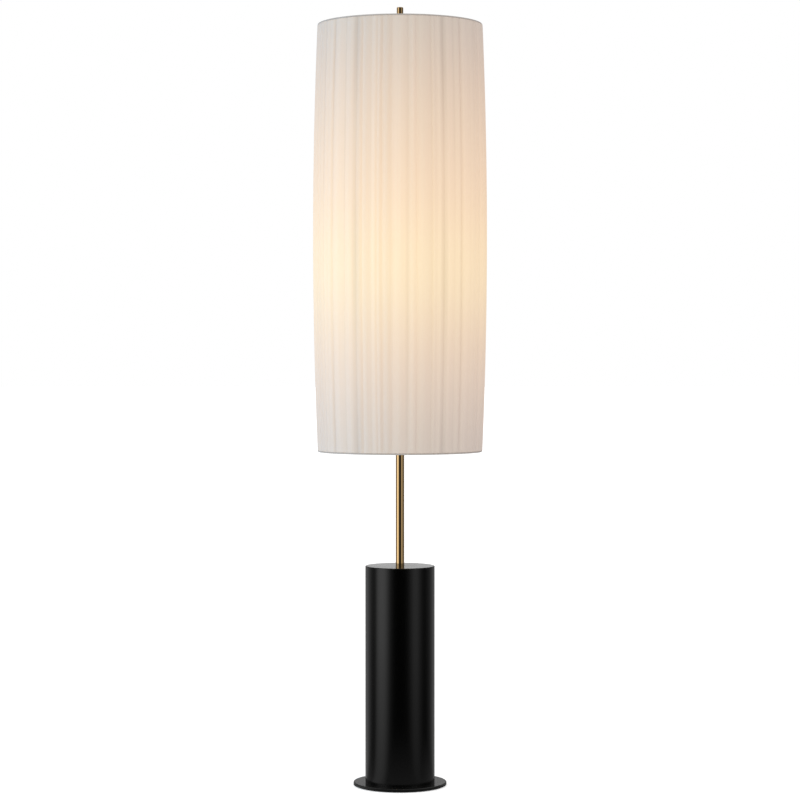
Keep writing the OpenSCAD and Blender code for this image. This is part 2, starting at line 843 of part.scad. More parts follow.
module finial_washer() {
  color("#b08a4a") translate([0, 0, washer_z]) tube(washer_r, stud_r + loose, washer_t);
}

module finial() {
  r = finial_d / 2;
  color("#b08a4a") translate([0, 0, finial_z]) difference() {
    rotate_extrude() polygon([
      [0, 0], [r - 0.4, 0], [r, 0.4], [r, finial_h - finial_chamfer],
      [r - finial_chamfer, finial_h], [0, finial_h]
    ]);
    translate([0, 0, -hair]) cylinder(r = stud_r + slip / 2, h = finial_hole_h);
  }
}

felt_pad();
foot_plate();
foot_screws();
ballast_weight();
ballast_bolt();
mounting_ring();
column_shell();
column_cap();
cord_bushing();
bushing_nut();
stem_nipple();
nipple_washer();
nipple_nut();
stem_bush();
stem_tube();
lower_hub();
lower_riser();
upper_hub();
upper_riser();
shade_seat();
shade_stud();
lower_arm();
upper_arm();
lower_lead();
upper_lead();
lead_connector();
at_lower_lamp() holder_cap();  // lower_holder_cap
at_upper_lamp() holder_cap();  // upper_holder_cap
at_lower_lamp() holder_shell();  // lower_holder_shell
at_upper_lamp() holder_shell();  // upper_holder_shell
at_lower_lamp() switch_body();  // lower_switch_body
at_upper_lamp() switch_body();  // upper_switch_body
at_lower_lamp() fibre_liner();  // lower_fibre_liner
at_upper_lamp() fibre_liner();  // upper_fibre_liner
at_lower_lamp() screw_shell();  // lower_screw_shell
at_upper_lamp() screw_shell();  // upper_screw_shell
at_lower_lamp() centre_contact();  // lower_centre_contact
at_upper_lamp() centre_contact();  // upper_centre_contact
at_lower_lamp() switch_knob();  // lower_switch_knob
at_upper_lamp() switch_knob();  // upper_switch_knob
at_lower_lamp() bulb_glass();  // lower_bulb_glass
at_upper_lamp() bulb_glass();  // upper_bulb_glass
at_lower_lamp() bulb_cap();  // lower_bulb_cap
at_upper_lamp() bulb_cap();  // upper_bulb_cap
at_lower_lamp() bulb_insulator();  // lower_bulb_insulator
at_upper_lamp() bulb_insulator();  // upper_bulb_insulator
top_ring();
bottom_ring();
shade_struts();
spider_arms();
spider_hub();
shade_lining();
shade_cover();
top_binding();
bottom_binding();
finial_washer();
finial();
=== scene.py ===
# Column floor lamp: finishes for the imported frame, the shade's cloth, and the studio.
import json
import math
import bpy
import numpy as np
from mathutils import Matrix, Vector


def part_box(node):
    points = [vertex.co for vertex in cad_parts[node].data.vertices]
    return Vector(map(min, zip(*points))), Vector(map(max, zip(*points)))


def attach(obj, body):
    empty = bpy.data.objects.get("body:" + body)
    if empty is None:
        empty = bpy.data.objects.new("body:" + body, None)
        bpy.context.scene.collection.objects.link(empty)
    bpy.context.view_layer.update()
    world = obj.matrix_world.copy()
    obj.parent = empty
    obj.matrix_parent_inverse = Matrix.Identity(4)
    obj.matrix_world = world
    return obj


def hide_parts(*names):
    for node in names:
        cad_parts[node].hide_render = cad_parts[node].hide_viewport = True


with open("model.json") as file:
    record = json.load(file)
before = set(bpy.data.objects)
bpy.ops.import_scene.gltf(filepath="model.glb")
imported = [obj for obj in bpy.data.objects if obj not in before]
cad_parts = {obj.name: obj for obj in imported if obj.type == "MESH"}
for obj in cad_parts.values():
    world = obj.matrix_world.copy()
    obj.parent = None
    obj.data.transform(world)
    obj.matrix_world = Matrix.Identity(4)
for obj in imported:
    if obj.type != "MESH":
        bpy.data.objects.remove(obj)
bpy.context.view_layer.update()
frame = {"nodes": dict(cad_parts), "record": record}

print("frame loaded:", len(frame["nodes"]), "nodes")
chance = np.random.default_rng(41)  # how uneven the folds and the stitches are


def joinUp(tree, source, target):
    # a socket is joined to the target, and a number or a colour is set on it
    if isinstance(source, bpy.types.NodeSocket):
        tree.links.new(source, target)
    else:
        target.default_value = source


def addNode(tree, kind, place, **values):
    # each value is a setting of the node, or else goes into the socket of that name
    node = tree.nodes.new(kind)
    node.location = place
    for name, value in values.items():
        if hasattr(node, name):
            setattr(node, name, value)
        else:
            joinUp(tree, value, node.inputs[name.replace("_", " ")])
    return node


def mathStep(tree, kind, *values, place=(0, 0), clamp=False):
    step = addNode(tree, "ShaderNodeMath", place, operation=kind, use_clamp=clamp)
    for value, socket in zip(values, step.inputs):
        joinUp(tree, value, socket)
    return step.outputs[0]


def splitVector(tree, source, place):
    return addNode(tree, "ShaderNodeSeparateXYZ", place, Vector=source).outputs


def mixShaders(tree, factor, first, second, place):
    mixer = addNode(tree, "ShaderNodeMixShader", place)
    for source, socket in zip((factor, first, second), mixer.inputs):
        joinUp(tree, source, socket)
    return mixer.outputs[0]


def blendColour(tree, factor, first, second, place=(0, 0), kind="MIX"):
    mixer = addNode(tree, "ShaderNodeMix", place, data_type="RGBA", blend_type=kind)
    for source, row in ((factor, 0), (first, 6), (second, 7)):
        joinUp(tree, (*source, 1.0) if isinstance(source, tuple) else source, mixer.inputs[row])
    return mixer.outputs[2]


def startMaterial(name, **shaderValues):
    made = bpy.data.materials.new(name)
    made.use_nodes = True
    tree = made.node_tree
    shader = tree.nodes["Principled BSDF"]
    for socketName, value in shaderValues.items():
        shader.inputs[socketName.replace("_", " ")].default_value = value
    return made, tree, shader


def startGroup(name, inputs, outputs):
    group = bpy.data.node_groups.new(name, "ShaderNodeTree")
    for label, kind, value in inputs:
        socket = group.interface.new_socket(label, in_out="INPUT", socket_type=kind)
        if value is not None:
            socket.default_value = value
    for label, kind in outputs:
        group.interface.new_socket(label, in_out="OUTPUT", socket_type=kind)
    entry = group.nodes.new("NodeGroupInput")
    entry.location = (-900, 0)
    leave = group.nodes.new("NodeGroupOutput")
    leave.location = (900, 0)
    return group, entry, leave


def placeGroup(tree, group, place, **values):
    return addNode(tree, "ShaderNodeGroup", place, node_tree=group, **values)


def addObject(name, data):
    obj = bpy.data.objects.new(name, data)
    bpy.context.scene.collection.objects.link(obj)
    return obj


blotchScale = 9.0  # broad uneven patches, a hand's width across


def makeGrainGroup():
    # noise stretched by a direction's own scale, for drawn, turned or slubbed surfaces
    group, entry, leave = startGroup(
        "stretchedGrain",
        [("Vector", "NodeSocketVector", None), ("Stretch", "NodeSocketVector", (1, 1, 1)),
         ("Detail", "NodeSocketFloat", 4.0), ("Contrast", "NodeSocketFloat", 1.0)],
        [("Grain", "NodeSocketFloat"), ("Blotch", "NodeSocketFloat")],
    )
    stretched = addNode(group, "ShaderNodeVectorMath", (-650, 100), operation="MULTIPLY",
                        Vector=entry.outputs["Vector"])
    joinUp(group, entry.outputs["Stretch"], stretched.inputs[1])
    fine = addNode(group, "ShaderNodeTexNoise", (-430, 150), Vector=stretched.outputs[0], Scale=1.0,
                   Detail=entry.outputs["Detail"], Roughness=0.6)
    centred = mathStep(group, "SUBTRACT", fine.outputs[0], 0.5, place=(-230, 150))
    scaled = mathStep(group, "MULTIPLY", centred, entry.outputs["Contrast"], place=(-60, 150))
    grain = mathStep(group, "ADD", scaled, 0.5, place=(110, 150), clamp=True)
    wide = addNode(group, "ShaderNodeTexNoise", (-430, -150), Vector=entry.outputs["Vector"],
                   Scale=blotchScale, Detail=2.0)
    joinUp(group, grain, leave.inputs["Grain"])
    joinUp(group, wide.outputs[0], leave.inputs["Blotch"])
    return group


dustPattern = {
    "upward": (2.5, -1.4),    # slope and start of what a face's tilt lets settle
    "speckScale": 260.0,
    "specks": (3.0, -1.2),    # slope and start that sharpen the noise into specks
}


def makeDustGroup():
    # how much dust a face holds: more where it looks up, broken up by noise
    group, entry, leave = startGroup(
        "settledDust",
        [("Vector", "NodeSocketVector", None), ("Amount", "NodeSocketFloat", 0.3)],
        [("Dust", "NodeSocketFloat")],
    )
    geometry = addNode(group, "ShaderNodeNewGeometry", (-700, 200))
    parts = splitVector(group, geometry.outputs["True Normal"], (-520, 200))
    upward = mathStep(group, "MULTIPLY_ADD", parts[2], *dustPattern["upward"], place=(-340, 200), clamp=True)
    specks = addNode(group, "ShaderNodeTexNoise", (-520, -60), Vector=entry.outputs["Vector"],
                     Scale=dustPattern["speckScale"], Detail=5.0, Roughness=0.7)
    sharp = mathStep(group, "MULTIPLY_ADD", specks.outputs[0], *dustPattern["specks"], place=(-340, -60),
                     clamp=True)
    both = mathStep(group, "MULTIPLY", upward, sharp, place=(-160, 80))
    dust = mathStep(group, "MULTIPLY", both, entry.outputs["Amount"], place=(20, 80), clamp=True)
    joinUp(group, dust, leave.inputs["Dust"])
    return group


def makeGlowGroup():
    # a bell curve by height, e to the -(rise / reach)^2: a bulb's own glow round its middle, and the bulbs'
    # light on the cloth, painted into the cloth's emission as a painted glow
    group, entry, leave = startGroup(
        "bulbGlow",
        [("Height", "NodeSocketFloat", 0.0), ("Bulb Height", "NodeSocketFloat", 1.0),
         ("Reach", "NodeSocketFloat", 0.2), ("Strength", "NodeSocketFloat", 1.0)],
        [("Light", "NodeSocketFloat")],
    )
    rise = mathStep(group, "SUBTRACT", entry.outputs["Height"], entry.outputs["Bulb Height"],
                    place=(-640, 80))
    ratio = mathStep(group, "DIVIDE", rise, entry.outputs["Reach"], place=(-470, 80))
    square = mathStep(group, "MULTIPLY", ratio, ratio, place=(-300, 80))
    fall = mathStep(group, "MULTIPLY", square, -1.0, place=(-130, 80))
    bell = mathStep(group, "EXPONENT", fall, place=(40, 80))
    light = mathStep(group, "MULTIPLY", bell, entry.outputs["Strength"], place=(210, 80))
    joinUp(group, light, leave.inputs["Light"])
    return group


def makeWeaveGroup():
    # plain weave from two crossed waves on a UV map laid out in metres
    group, entry, leave = startGroup(
        "plainWeave",
        [("UV", "NodeSocketVector", None), ("Threads Across", "NodeSocketFloat", 2600.0),
         ("Threads Down", "NodeSocketFloat", 2600.0)],
        [("Height", "NodeSocketFloat"), ("Gap", "NodeSocketFloat")],
    )
    parts = splitVector(group, entry.outputs["UV"], (-700, 0))
    across = mathStep(group, "MULTIPLY", parts[0], entry.outputs["Threads Across"], place=(-520, 120))
    down = mathStep(group, "MULTIPLY", parts[1], entry.outputs["Threads Down"], place=(-520, -120))
    waveA = mathStep(group, "SINE", across, place=(-340, 120))
    waveB = mathStep(group, "SINE", down, place=(-340, -120))
    crossed = mathStep(group, "MULTIPLY", waveA, waveB, place=(-160, 0))
    height = mathStep(group, "MULTIPLY_ADD", crossed, 0.5, 0.5, place=(20, 60))
    topA = mathStep(group, "ABSOLUTE", waveA, place=(-160, 220))
    topB = mathStep(group, "ABSOLUTE", waveB, place=(-160, -220))
    lowest = mathStep(group, "MINIMUM", topA, topB, place=(20, -120))
    gap = mathStep(group, "SUBTRACT", 1.0, lowest, place=(200, -120), clamp=True)
    joinUp(group, height, leave.inputs["Height"])
    joinUp(group, gap, leave.inputs["Gap"])
    return group


def makeStudioGroup(lights):
    # what a shiny surface sees of the studio, by the bearing of a direction or a place round the lamp:
    # 0 is towards the camera and minus is to its left
    group, entry, leave = startGroup(
        "studioByBearing", [("Vector", "NodeSocketVector", None)], [("Light", "NodeSocketFloat")],
    )
    parts = splitVector(group, entry.outputs["Vector"], (-720, 0))
    front = mathStep(group, "MULTIPLY", parts[1], -1.0, place=(-560, -80))
    bearing = mathStep(group, "ARCTAN2", parts[0], front, place=(-400, 0))
    turn = mathStep(group, "MULTIPLY_ADD", bearing, 0.5 / math.pi, 0.5, place=(-240, 0))
    ring = addNode(group, "ShaderNodeValToRGB", (-60, 0))
    stops = ring.color_ramp.elements
    for row, (degrees, level) in enumerate(lights):
        stop = stops[row] if row < len(stops) else stops.new(1.0)
        stop.position = (degrees + 180) / 360
        stop.color = (level, level, level, 1)
    joinUp(group, turn, ring.inputs[0])
    joinUp(group, ring.outputs["Color"], leave.inputs["Light"])
    return group


grainGroup = makeGrainGroup()
dustGroup = makeDustGroup()
glowGroup = makeGlowGroup()
weaveGroup = makeWeaveGroup()
print("shared effects made")


# what a finish has unless its own dictionary says otherwise
plainFinish = {"metal": 0.0, "coat": 0.0, "coatRough": 0.1, "coatIor": 1.5, "detail": 4.0, "lines": 0.2,
               "smudge": 0.06, "bump": 0.2, "bumpDepth": 0.0001, "dust": 0.1,
               "dustTone": (0.35, 0.34, 0.32), "dustRough": 0.3}


def grainyMaterial(name, settings):
    # one shader for most of the stand: two tones, grain in roughness and bump, dust on top
    look = {**plainFinish, **settings}
    made, tree, shader = startMaterial(
        name, Metallic=look["metal"], Coat_Weight=look["coat"], Coat_Roughness=look["coatRough"],
        Coat_IOR=look["coatIor"],
    )
    coords = addNode(tree, "ShaderNodeTexCoord", (-1500, 0))
    grain = placeGroup(tree, grainGroup, (-1250, 100), Vector=coords.outputs["Object"],
                       Stretch=look["stretch"], Detail=look["detail"])
    dust = placeGroup(tree, dustGroup, (-1250, -200), Vector=coords.outputs["Object"], Amount=look["dust"])
    tone = blendColour(tree, grain.outputs["Blotch"], look["tone"], look["toneTwo"], place=(-950, 200))
    lined = mathStep(tree, "MULTIPLY_ADD", grain.outputs["Grain"], look["lines"], 1.0 - look["lines"] / 2,
                     place=(-950, 420))
    streaked = blendColour(tree, 1.0, tone, lined, place=(-720, 300), kind="MULTIPLY")
    dusty = blendColour(tree, dust.outputs["Dust"], streaked, look["dustTone"], place=(-480, 200))
    joinUp(tree, dusty, shader.inputs["Base Color"])
    rough = mathStep(tree, "MULTIPLY_ADD", grain.outputs["Grain"], look["roughSpread"],
                     look["rough"] - look["roughSpread"] / 2, place=(-720, 0))
    smudged = mathStep(tree, "MULTIPLY_ADD", grain.outputs["Blotch"], look["smudge"], rough, place=(-480, 0))
    finished = mathStep(tree, "MULTIPLY_ADD", dust.outputs["Dust"], look["dustRough"], smudged,
                        place=(-300, 0), clamp=True)
    joinUp(tree, finished, shader.inputs["Roughness"])
    bump = addNode(tree, "ShaderNodeBump", (-300, -250), Strength=look["bump"], Distance=look["bumpDepth"],
                   Height=grain.outputs["Grain"])
    joinUp(tree, bump.outputs[0], shader.inputs["Normal"])
    return made


drawnBrass = {"tone": (0.86, 0.56, 0.23), "toneTwo": (0.83, 0.53, 0.21), "metal": 1.0, "rough": 0.06,
              "roughSpread": 0.02, "smudge": 0.02, "coat": 1.0, "coatRough": 0.05, "coatIor": 1.7,
              "stretch": (2600, 2600, 30), "lines": 0.05, "bump": 0.04, "dust": 0.03}
turnedBrass = {**drawnBrass, "stretch": (40, 40, 5200), "rough": 0.1, "lines": 0.08, "bump": 0.06}
blackEnamel = {"tone": (0.0007, 0.0007, 0.0006), "toneTwo": (0.0005, 0.0005, 0.0004), "rough": 0.15,
               "roughSpread": 0.05, "stretch": (1500, 1500, 1500), "detail": 2.0, "lines": 0.1,
               "bump": 0.06, "bumpDepth": 0.00006, "dust": 0.12, "dustTone": (0.10, 0.098, 0.092)}
finishes = {
    "black_enamel": blackEnamel,
    "zinc_steel": {"tone": (0.60, 0.61, 0.62), "toneTwo": (0.50, 0.50, 0.49), "metal": 1.0, "rough": 0.34,
                   "roughSpread": 0.14, "stretch": (900, 900, 900), "bump": 0.15},
    "plain_steel": {"tone": (0.38, 0.37, 0.36), "toneTwo": (0.28, 0.26, 0.24), "metal": 1.0, "rough": 0.45,
                    "roughSpread": 0.2, "stretch": (500, 500, 500), "bump": 0.2},
    "cast_iron": {"tone": (0.07, 0.068, 0.065), "toneTwo": (0.12, 0.09, 0.07), "metal": 0.4, "rough": 0.75,
                  "roughSpread": 0.2, "stretch": (700, 700, 700), "bump": 0.8, "bumpDepth": 0.0005},
    "black_nylon": {"tone": (0.018, 0.018, 0.019), "toneTwo": (0.013, 0.013, 0.014), "rough": 0.48,
                    "roughSpread": 0.1, "stretch": (2500, 2500, 2500), "bump": 0.12},
    "lead_sleeve": {"tone": (0.62, 0.58, 0.50), "toneTwo": (0.55, 0.51, 0.44), "rough": 0.55,
                    "roughSpread": 0.1, "stretch": (1800, 1800, 300), "bump": 0.1},
    "white_ceramic": {"tone": (0.74, 0.73, 0.69), "toneTwo": (0.68, 0.66, 0.61), "rough": 0.5,
                      "roughSpread": 0.15, "stretch": (1200, 1200, 1200), "bump": 0.15},
    "brown_phenolic": {"tone": (0.035, 0.022, 0.016), "toneTwo": (0.05, 0.028, 0.018), "rough": 0.32,
                       "roughSpread": 0.12, "stretch": (1600, 1600, 1600), "bump": 0.08},
    "fibre_card": {"tone": (0.50, 0.42, 0.29), "toneTwo": (0.42, 0.34, 0.22), "rough": 0.85,
                   "roughSpread": 0.1, "stretch": (700, 700, 2600), "bump": 0.3},
    "nickel": {"tone": (0.72, 0.70, 0.66), "toneTwo": (0.64, 0.61, 0.56), "metal": 1.0, "rough": 0.18,
               "roughSpread": 0.12, "stretch": (60, 60, 4000), "bump": 0.1},
    "black_vitrite": {"tone": (0.012, 0.011, 0.011), "toneTwo": (0.02, 0.018, 0.017), "rough": 0.12,
                      "roughSpread": 0.06, "stretch": (900, 900, 900), "bump": 0.05},
    "white_wire": {"tone": (0.74, 0.72, 0.67), "toneTwo": (0.68, 0.66, 0.60), "rough": 0.42,
                   "roughSpread": 0.1, "stretch": (1400, 1400, 1400), "bump": 0.12, "dust": 0.25},
}
brassTurned = {"lower_hub", "upper_hub", "shade_seat", "stem_bush", "finial", "finial_washer", "spider_hub",
               "lower_holder_cap", "upper_holder_cap", "lower_holder_shell", "upper_holder_shell"}


felt = {"fibres": 900.0, "clumps": 420.0, "dark": (0.012, 0.012, 0.013), "light": (0.036, 0.036, 0.04),
        "bump": 0.9, "bumpDepth": 0.0006}


def makeFelt():
    # pressed wool: short tangled fibres in tone and height
    made, tree, shader = startMaterial("pressedFelt", Roughness=0.95, Sheen_Weight=0.4, Sheen_Roughness=0.6)
    coords = addNode(tree, "ShaderNodeTexCoord", (-1100, 0))
    fibre = addNode(tree, "ShaderNodeTexNoise", (-880, 100), Vector=coords.outputs["Object"],
                    Scale=felt["fibres"], Detail=6.0, Roughness=0.8)
    clumps = addNode(tree, "ShaderNodeTexVoronoi", (-880, -160), Vector=coords.outputs["Object"],
                     Scale=felt["clumps"])
    mixed = mathStep(tree, "MULTIPLY", fibre.outputs[0], clumps.outputs["Distance"], place=(-660, 0))
    tone = blendColour(tree, fibre.outputs[0], felt["dark"], felt["light"], place=(-420, 150))
    joinUp(tree, tone, shader.inputs["Base Color"])
    bump = addNode(tree, "ShaderNodeBump", (-300, -200), Strength=felt["bump"], Distance=felt["bumpDepth"],
                   Height=mixed)
    joinUp(tree, bump.outputs[0], shader.inputs["Normal"])
    return made


opalGlass = {
    "middles": {"lower": 1.135, "upper": 1.385},  # height of each globe's middle
    "middleLight": (0.46, 0.39, 0.26),
    "endLight": (0.16, 0.10, 0.04),
    "reach": 0.045,               # how far up and down the brighter middle reaches
    "tone": (0.46, 0.45, 0.43),
    "toneTwo": (0.41, 0.40, 0.38),
    "frost": 1500.0,
    "rough": 0.35,
    "bump": 0.1,
    "bumpDepth": 0.0001,
}


def makeOpalGlass(which):
    # frosted envelope that glows, brightest round the middle of its globe
    made, tree, shader = startMaterial("opalBulbGlass" + which.title(), Roughness=opalGlass["rough"],
                                       Emission_Strength=1.0)
    coords = addNode(tree, "ShaderNodeTexCoord", (-1300, 0))
    height = splitVector(tree, coords.outputs["Object"], (-1100, 0))[2]
    glow = placeGroup(tree, glowGroup, (-880, 60), Height=height, Bulb_Height=opalGlass["middles"][which],
                      Reach=opalGlass["reach"])
    frost = addNode(tree, "ShaderNodeTexNoise", (-880, -200), Vector=coords.outputs["Object"],
                    Scale=opalGlass["frost"], Detail=3.0)
    light = blendColour(tree, glow.outputs["Light"], opalGlass["endLight"], opalGlass["middleLight"],
                        place=(-600, 60))
    joinUp(tree, light, shader.inputs["Emission Color"])
    tone = blendColour(tree, frost.outputs[0], opalGlass["tone"], opalGlass["toneTwo"], place=(-600, 260))
    joinUp(tree, tone, shader.inputs["Base Color"])
    bump = addNode(tree, "ShaderNodeBump", (-300, -200), Strength=opalGlass["bump"],
                   Distance=opalGlass["bumpDepth"], Height=frost.outputs[0])
    joinUp(tree, bump.outputs[0], shader.inputs["Normal"])
    return made


slotOf = {part["node"]: part["material_slot"] for part in frame["record"]["subparts"]}
madeFinishes = {slot: grainyMaterial(slot, look) for slot, look in finishes.items()}
brassDrawn = grainyMaterial("drawnBrass", drawnBrass)
brassLathe = grainyMaterial("turnedBrass", turnedBrass)
feltMaterial = makeFelt()
bulbMaterials = {which: makeOpalGlass(which) for which in opalGlass["middles"]}


def finishFor(node):
    slot = slotOf[node]
    if slot == "brass":
        return brassLathe if node in brassTurned else brassDrawn
    if slot == "felt":
        return feltMaterial
    if slot == "bulb_glass":
        return bulbMaterials[node.split("_")[0]]
    return madeFinishes.get(slot)


for node, obj in frame["nodes"].items():
    finish = finishFor(node)
    if finish:
        for place in obj.material_slots:
            place.material = finish
print("stand finished")


shade = {
    "bottom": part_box("bottom_binding")[0][2],
    "top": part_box("top_binding")[1][2],
    "endRadius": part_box("top_binding")[1][0],
    "swell": 0.010,  # of its sides at mid height
    "binding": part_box("shade_cover")[0][2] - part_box("bottom_binding")[0][2],
    "struts": 6,
}


def sideRadius(z):
    # the barrel's arc, a circle through both ends and the swell between them; its own radius is
    # (half the height squared + the swell squared) / twice the swell
    half = (shade["top"] - shade["bottom"]) / 2
    middle = (shade["top"] + shade["bottom"]) / 2
    arc = (half ** 2 + shade["swell"] ** 2) / (2 * shade["swell"])
    return shade["endRadius"] + shade["swell"] - arc + np.sqrt(arc ** 2 - (z - middle) ** 2)


def shellMesh(name, outside, inside, steps):
    # closed thin shell: an outer and an inner grid of points wrapped round the axis and joined along both
    # rims. Each side is (points, heights, masks); steps are the lengths between columns along the cloth.
    meshPoints, faces, heights, first = [], [], [], 0
    columns = len(steps)
    here = np.arange(columns)
    there = (here + 1) % columns
    for points, z, masks in (outside, inside):
        rows = len(points)
        base = (np.arange(rows - 1) * columns)[:, None] + first
        wall = [base + here, base + there, base + columns + there, base + columns + here]
        faces.append(np.stack(wall if first == 0 else wall[::-1], axis=-1).reshape(-1, 4))
        meshPoints.append(points.reshape(-1, 3))
        heights.append(z.ravel())
        first += rows * columns
    inner = len(outside[0]) * columns
    outerLast, innerLast = inner - columns, first - columns
    faces.append(np.stack([here, here + inner, there + inner, there], axis=-1))
    faces.append(np.stack([outerLast + here, outerLast + there, innerLast + there, innerLast + here],
                          axis=-1))
    faces = np.concatenate(faces)
    mesh = bpy.data.meshes.new(name)
    mesh.vertices.add(first)
    mesh.vertices.foreach_set("co", np.concatenate(meshPoints).ravel())
    mesh.loops.add(faces.size)
    mesh.loops.foreach_set("vertex_index", faces.ravel().astype(np.int32))
    mesh.polygons.add(len(faces))
    mesh.polygons.foreach_set("loop_start", (np.arange(len(faces)) * 4).astype(np.int32))
    mesh.polygons.foreach_set("loop_total", np.full(len(faces), 4, dtype=np.int32))
    mesh.update(calc_edges=True)
    smooth = np.arange(len(faces)) < len(faces) - 2 * columns  # all but the two rims, which stay crisp
    mesh.polygons.foreach_set("use_smooth", smooth)
    run = np.concatenate([[0], np.cumsum(steps)])  # the cloth's own length, with the seam's two values
    column = faces % columns
    closing = (column.max(axis=1) - column.min(axis=1)) > 1
    column = np.where(closing[:, None] & (column == 0), columns, column)
    flat = np.stack([run[column.ravel()], np.concatenate(heights)[faces.ravel()]], axis=-1)
    mesh.uv_layers.new(name="cloth").data.foreach_set("uv", flat.ravel())
    for label in outside[2]:
        values = np.concatenate([outside[2][label].ravel(), inside[2][label].ravel()])
        mesh.attributes.new(label, "FLOAT", "POINT").data.foreach_set("value", values.astype(np.float32))
    mesh.validate()
    return addObject(name, mesh)


def ringPoints(radius, angle, z):
    # x is radius times cosine and y radius times sine
    return np.stack([radius * np.cos(angle), radius * np.sin(angle), z], axis=-1)


cover = {
    "folds": 56,
    "spread": 0.34,           # unevenness of their widths
    "depth": 0.0020,          # of a fold of middling width
    "deepest": 0.0028,
    "widthPower": 0.7,        # how a fold's depth follows its width
    "lean": 0.55,             # how far a fold's crest leans to one side
    "bellyPower": 1.3,        # how sharply a fold rises from its edges
    "breathing": 0.4,         # change of its depth on the way up
    "ripple": 0.00003,
    "sways": ((0.0045, 7, 2.6), (0.0030, 19, -4.1)),  # size in radians, waves round, turn by height
    "deepEdgeShare": 0.28,           # share of the fold edges painted with a darker line of shade
    "deepEdgeShade": (0.25, 0.45),       # how dark such a painted shade line is: the least, and how much more it may be
    # painted shade along every other fold edge
    "plainEdgeShade": 0.06,
    "halfWidth": (0.0018, 0.0022),    # of a line: the least, and how much more it may be
    "rimHold": (0.55, 0.006),         # share of the depth that a rim takes away, and how far it reaches
    "rimRows": (0, 0.002, 0.006, 0.014),  # rows close to each rim, by their distance from it
    "firstRow": 0.03,         # the even rows start and end this share of the height from the rims
    "thickness": 0.0005,
    "edge": 0.0032,           # how much of the tape it leaves to be seen
    "columns": 2300,
    "rows": 22,
    "innerRows": 7,
}
strutLine = {  # where the cloth is sewn to a strut: a soft broad painted shadow, with a narrower line of painted shade along the seam
    "depth": 0.0020, "dark": 0.75, "halfWidth": 0.0085, "squareness": 4, "seamDark": 0.4, "seam": 0.0018,
}


def layFolds():
    # fold edges round the shade: uneven widths, each edge with its own depth and its own line of painted
    # shade, and an edge on every strut
    count = cover["folds"]
    widths = chance.lognormal(0, cover["spread"], count)
    edges = np.concatenate([[0], np.cumsum(widths)[:-1]]) * 2 * math.pi / widths.sum()
    struts = np.arange(shade["struts"]) * 2 * math.pi / shade["struts"]
    nearest = np.abs(edges[:, None] - struts[None, :]).argmin(axis=0)
    edges[nearest] = struts
    order = np.argsort(edges)
    edges, onStrut = edges[order], np.isin(order, nearest)
    span = np.diff(edges, append=2 * math.pi) * count / (2 * math.pi)
    beside = (span + np.roll(span, 1)) / 2
    depth = cover["depth"] * beside ** cover["widthPower"] * (0.5 + chance.random(count))
    leastDark, moreDark = cover["deepEdgeShade"]
    leastWide, moreWide = cover["halfWidth"]
    deepShaded = chance.random(count) < cover["deepEdgeShare"]
    dark = np.where(deepShaded, leastDark + moreDark * chance.random(count), cover["plainEdgeShade"])
    return {
        "edges": edges,
        "depth": np.where(onStrut, strutLine["depth"], np.minimum(depth, cover["deepest"])),
        "dark": np.where(onStrut, strutLine["dark"], dark),
        "seam": np.where(onStrut, strutLine["seamDark"], 0.0),
        "halfWidth": np.where(onStrut, strutLine["halfWidth"], leastWide + moreWide * chance.random(count)),
        "squareness": np.where(onStrut, strutLine["squareness"], 2),
        "lean": cover["lean"] * (2 * chance.random(count) - 1),
        "phase": 2 * math.pi * chance.random(count),
        "ripples": chance.integers(2, 4, count),
    }


folds = layFolds()


def foldSurface(angle, height):
    # depth below the outer arc: from each fold edge's own depth the cloth rises to the arc and falls back,
    # as a half sine to a power whose crest leans to one side, with two or three faint ripples on it
    sway = sum(size * np.sin(waves * angle + turn * height) for size, waves, turn in cover["sways"])
    swayed = (angle + sway * np.abs(np.sin(shade["struts"] / 2 * angle))) % (2 * math.pi)  # none on a strut
    edges, count = folds["edges"], cover["folds"]
    left = np.searchsorted(edges, swayed, side="right") - 1
    right = (left + 1) % count
    start = edges[left]
    end = np.where(right == 0, 2 * math.pi, edges[right])
    across = (swayed - start) / (end - start)
    leaned = across + folds["lean"][left] * across * (1 - across)
    belly = np.clip(np.sin(math.pi * leaned), 0, 1) ** cover["bellyPower"]
    between = across ** 2 * (3 - 2 * across)
    edgeDepth = folds["depth"][left] * (1 - between) + folds["depth"][right] * between
    phase, ripples = folds["phase"][left], folds["ripples"][left]
    pulse = 1 + cover["breathing"] * np.sin((2 + ripples) * math.pi * height + phase) * belly
    ripple = cover["ripple"] * np.cos(2 * math.pi * ripples * across + phase)
    sink = edgeDepth * (1 - belly) * pulse + (ripple + cover["ripple"]) * belly
    radius = shade["endRadius"]

    def edgeShadeLine(row, gap):
        # painted shade: a dark line along one fold edge, fading in and out on its way up, and on a strut a
        # narrower painted shade line as well
        squareness = folds["squareness"][row]
        fading = 0.75 + 0.25 * np.sin(squareness * math.pi * height + 3 * folds["phase"][row])
        reach = (gap * radius / folds["halfWidth"][row]) ** squareness
        seam = folds["seam"][row] * np.exp(-(gap * radius / strutLine["seam"]) ** 2)
        return folds["dark"][row] * fading * np.exp(-reach) + seam

    tone = np.sin(5.3 * phase) * np.sqrt(belly)  # each fold a shade lighter or darker than the next
    # the second value is the painted shade along the fold edges, the third each fold's random tone
    return sink, np.maximum(edgeShadeLine(left, swayed - start), edgeShadeLine(right, end - swayed)), tone


